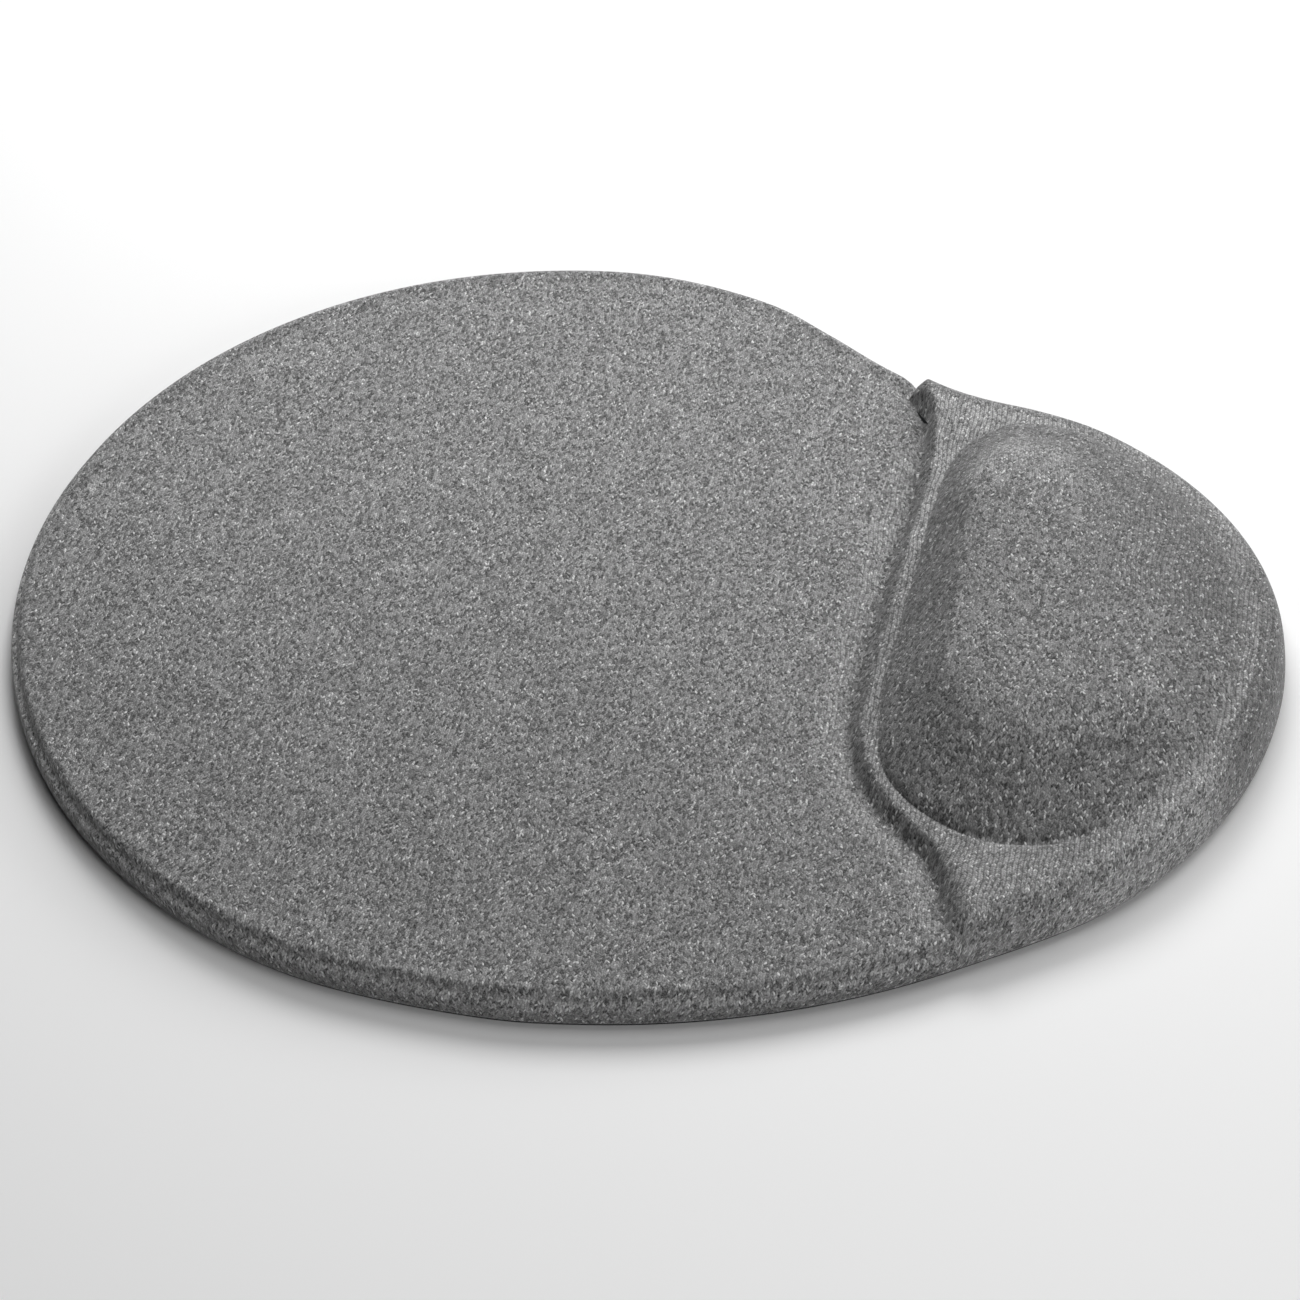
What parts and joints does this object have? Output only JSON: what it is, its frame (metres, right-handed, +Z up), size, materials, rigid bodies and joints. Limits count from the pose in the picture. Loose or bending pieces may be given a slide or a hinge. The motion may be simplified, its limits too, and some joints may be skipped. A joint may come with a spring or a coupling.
{
  "type": "mouse pad with wrist rest",
  "caption": "Round fabric mouse pad with a raised gel wrist rest built into its right side, under one stretched cover, on a non-slip base.",
  "frame": {"origin": "middle of the underside, on the surface the pad lies on", "axes": "+X towards the wrist rest, +Y towards the rear of the pad, +Z up"},
  "size_m": [0.26, 0.2245, 0.0224],
  "materials": {
    "cover_fabric": "grey stretch jersey with a fine heathered knit",
    "plate_plastic": "matte",
    "foam": "matte closed-cell foam",
    "carrier_foam": "matte closed-cell foam",
    "pouch_film": "clear flexible film",
    "gel": "soft glossy gel",
    "bonding_film": "satin adhesive film",
    "base_rubber": "matte textured non-slip rubber"
  },
  "bodies": {
    "root": {"fabric_cover": "cover_fabric", "tracking_plate": "plate_plastic", "pad_foam": "foam", "wrist_carrier": "carrier_foam", "gel_pouch_top_film": "pouch_film", "gel_core": "gel", "gel_pouch_bottom_film": "pouch_film", "bonding_film": "bonding_film", "base_sheet": "base_rubber"}
  },
  "joints": []
}
